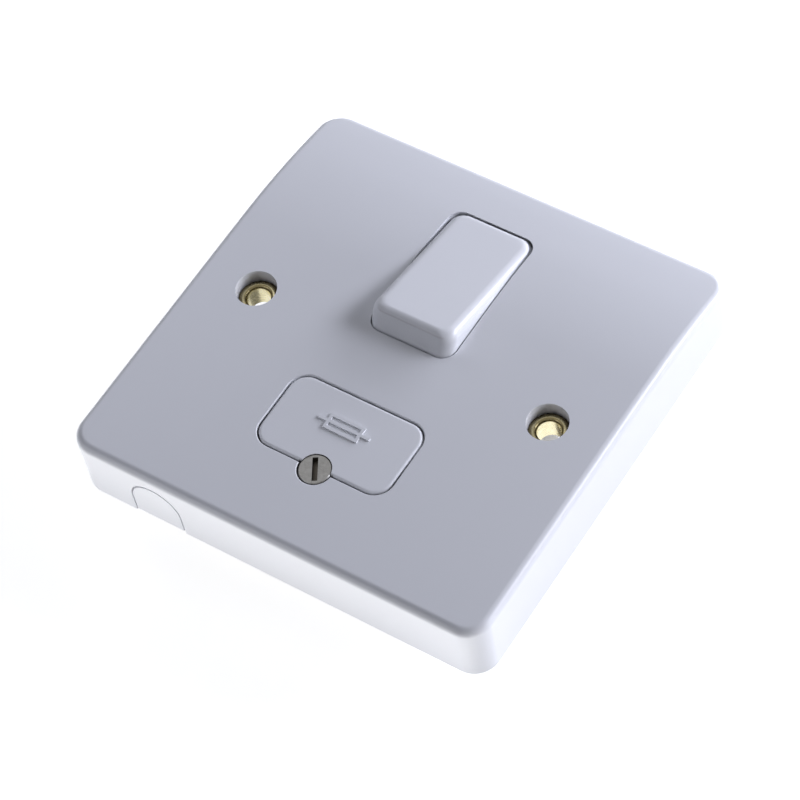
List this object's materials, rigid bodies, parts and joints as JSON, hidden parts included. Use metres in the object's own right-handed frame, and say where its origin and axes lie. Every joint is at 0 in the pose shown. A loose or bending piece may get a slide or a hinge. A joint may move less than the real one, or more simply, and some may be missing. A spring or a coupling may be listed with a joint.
{
  "type": "switched fused connection unit",
  "caption": "Square white wall plate with a rocker switch, a fuse carrier held by a slotted screw, two brass-lined fixing holes and a rear base with wire terminals.",
  "frame": {"origin": "midway between the two fixing holes, in the plane of the plate's rear rim, which is the wall", "axes": "+Z out of the wall towards the room, +Y up the wall towards the rocker, +X to the right seen from the room"},
  "size_m": [0.0842, 0.0842, 0.0286],
  "materials": {
    "white_thermoset": "gloss",
    "white_rocker": "gloss",
    "white_carrier": "gloss",
    "phenolic": "satin",
    "zinc_steel": "satin",
    "eyelet_brass": "bright",
    "brass": "satin",
    "nickel": "satin",
    "silver": "bright",
    "bronze": "satin",
    "nylon": "satin",
    "spring_steel": "satin",
    "ceramic": "glazed",
    "worn_nickel": "worn"
  },
  "bodies": {
    "housing": {"front_plate": "white_thermoset", "rear_base": "phenolic", "cord_clamp_bar": "phenolic", "base_screws": "zinc_steel", "cord_clamp_screws": "zinc_steel", "fixing_eyelet_left": "eyelet_brass", "fixing_eyelet_right": "eyelet_brass", "earth_strap": "brass", "earth_terminal": "brass", "line_supply_terminal": "brass", "neutral_supply_terminal": "brass", "line_load_terminal": "brass", "neutral_load_terminal": "brass", "terminal_screws": "nickel", "line_fixed_contact": "brass", "neutral_fixed_contact": "brass", "line_fixed_button": "silver", "neutral_fixed_button": "silver", "line_pivot_strip": "brass", "neutral_pivot_strip": "brass", "load_strip": "brass", "supply_fuse_clip": "bronze", "load_fuse_clip": "bronze", "carrier_insert": "brass"},
    "rocker": {"rocker": "white_rocker", "line_plunger": "nylon", "neutral_plunger": "nylon", "line_spring": "spring_steel", "neutral_spring": "spring_steel"},
    "line_contact": {"line_moving_contact": "bronze", "line_moving_button": "silver"},
    "neutral_contact": {"neutral_moving_contact": "bronze", "neutral_moving_button": "silver"},
    "carrier": {"fuse_carrier": "white_carrier", "fuse_barrel": "ceramic", "supply_fuse_cap": "nickel", "load_fuse_cap": "nickel"},
    "carrier_screw": {"carrier_screw": "worn_nickel"}
  },
  "joints": [
    {"name": "rocker_tilt", "type": "hinge", "parent": "housing", "child": "rocker", "pos_m": [0, 0.01704, 0.0084], "axis": [1, 0, 0], "range_deg": [0, 17.8]},
    {"name": "line_contact_rock", "type": "hinge", "parent": "housing", "child": "line_contact", "pos_m": [0.0044, 0.01704, -0.00595], "axis": [1, 0, 0], "range_deg": [-16, 0]},
    {"name": "neutral_contact_rock", "type": "hinge", "parent": "housing", "child": "neutral_contact", "pos_m": [-0.0044, 0.01704, -0.00595], "axis": [1, 0, 0], "range_deg": [-16, 0]},
    {"name": "carrier_pull", "type": "slide", "parent": "housing", "child": "carrier", "axis": [0, 0, 1], "range_m": [0, 0.015]},
    {"name": "carrier_screw_turn", "type": "hinge", "parent": "carrier", "child": "carrier_screw", "pos_m": [0, -0.02655, 0.01105], "axis": [0, 0, 1], "continuous": true}
  ],
  "couplings": [
    {"joint": "line_contact_rock", "follows": "rocker_tilt", "ratio": -0.89888},
    {"joint": "neutral_contact_rock", "follows": "rocker_tilt", "ratio": -0.89888}
  ]
}
